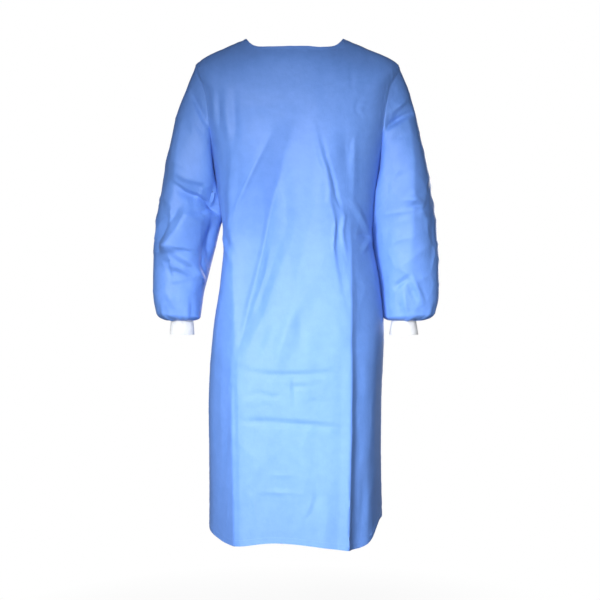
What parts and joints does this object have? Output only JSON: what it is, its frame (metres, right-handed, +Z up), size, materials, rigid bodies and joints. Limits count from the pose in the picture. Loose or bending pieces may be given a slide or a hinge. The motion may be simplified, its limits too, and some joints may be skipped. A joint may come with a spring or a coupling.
{
  "type": "surgical gown",
  "caption": "Back-closing surgical gown in its worn form: hollow front and back panels, set-in sleeves over knit cuffs, waist ties and a neck tab.",
  "frame": {"origin": "centre of the neck opening, level with the neck ends of the two shoulder seams, where the wearer's shoulders carry the gown", "axes": "+Z up, -Y out of the gown's front, +X to the wearer's left"},
  "size_m": [0.6868, 0.3674, 1.194],
  "materials": {
    "gown_cloth": "smooth non-woven cloth with a slight sheen",
    "cuff_knit": "white ribbed knit",
    "tie_tape": "smooth non-woven tape"
  },
  "bodies": {
    "root": {"front_panel": "gown_cloth", "back_panel_left": "gown_cloth", "back_panel_right": "gown_cloth", "sleeve_left": "gown_cloth", "sleeve_right": "gown_cloth", "cuff_left": "cuff_knit", "cuff_right": "cuff_knit", "waist_tie_left": "tie_tape", "waist_tie_right": "tie_tape", "waist_knot": "tie_tape", "tie_end_left": "tie_tape", "tie_end_right": "tie_tape", "neck_tab": "tie_tape"}
  },
  "joints": []
}
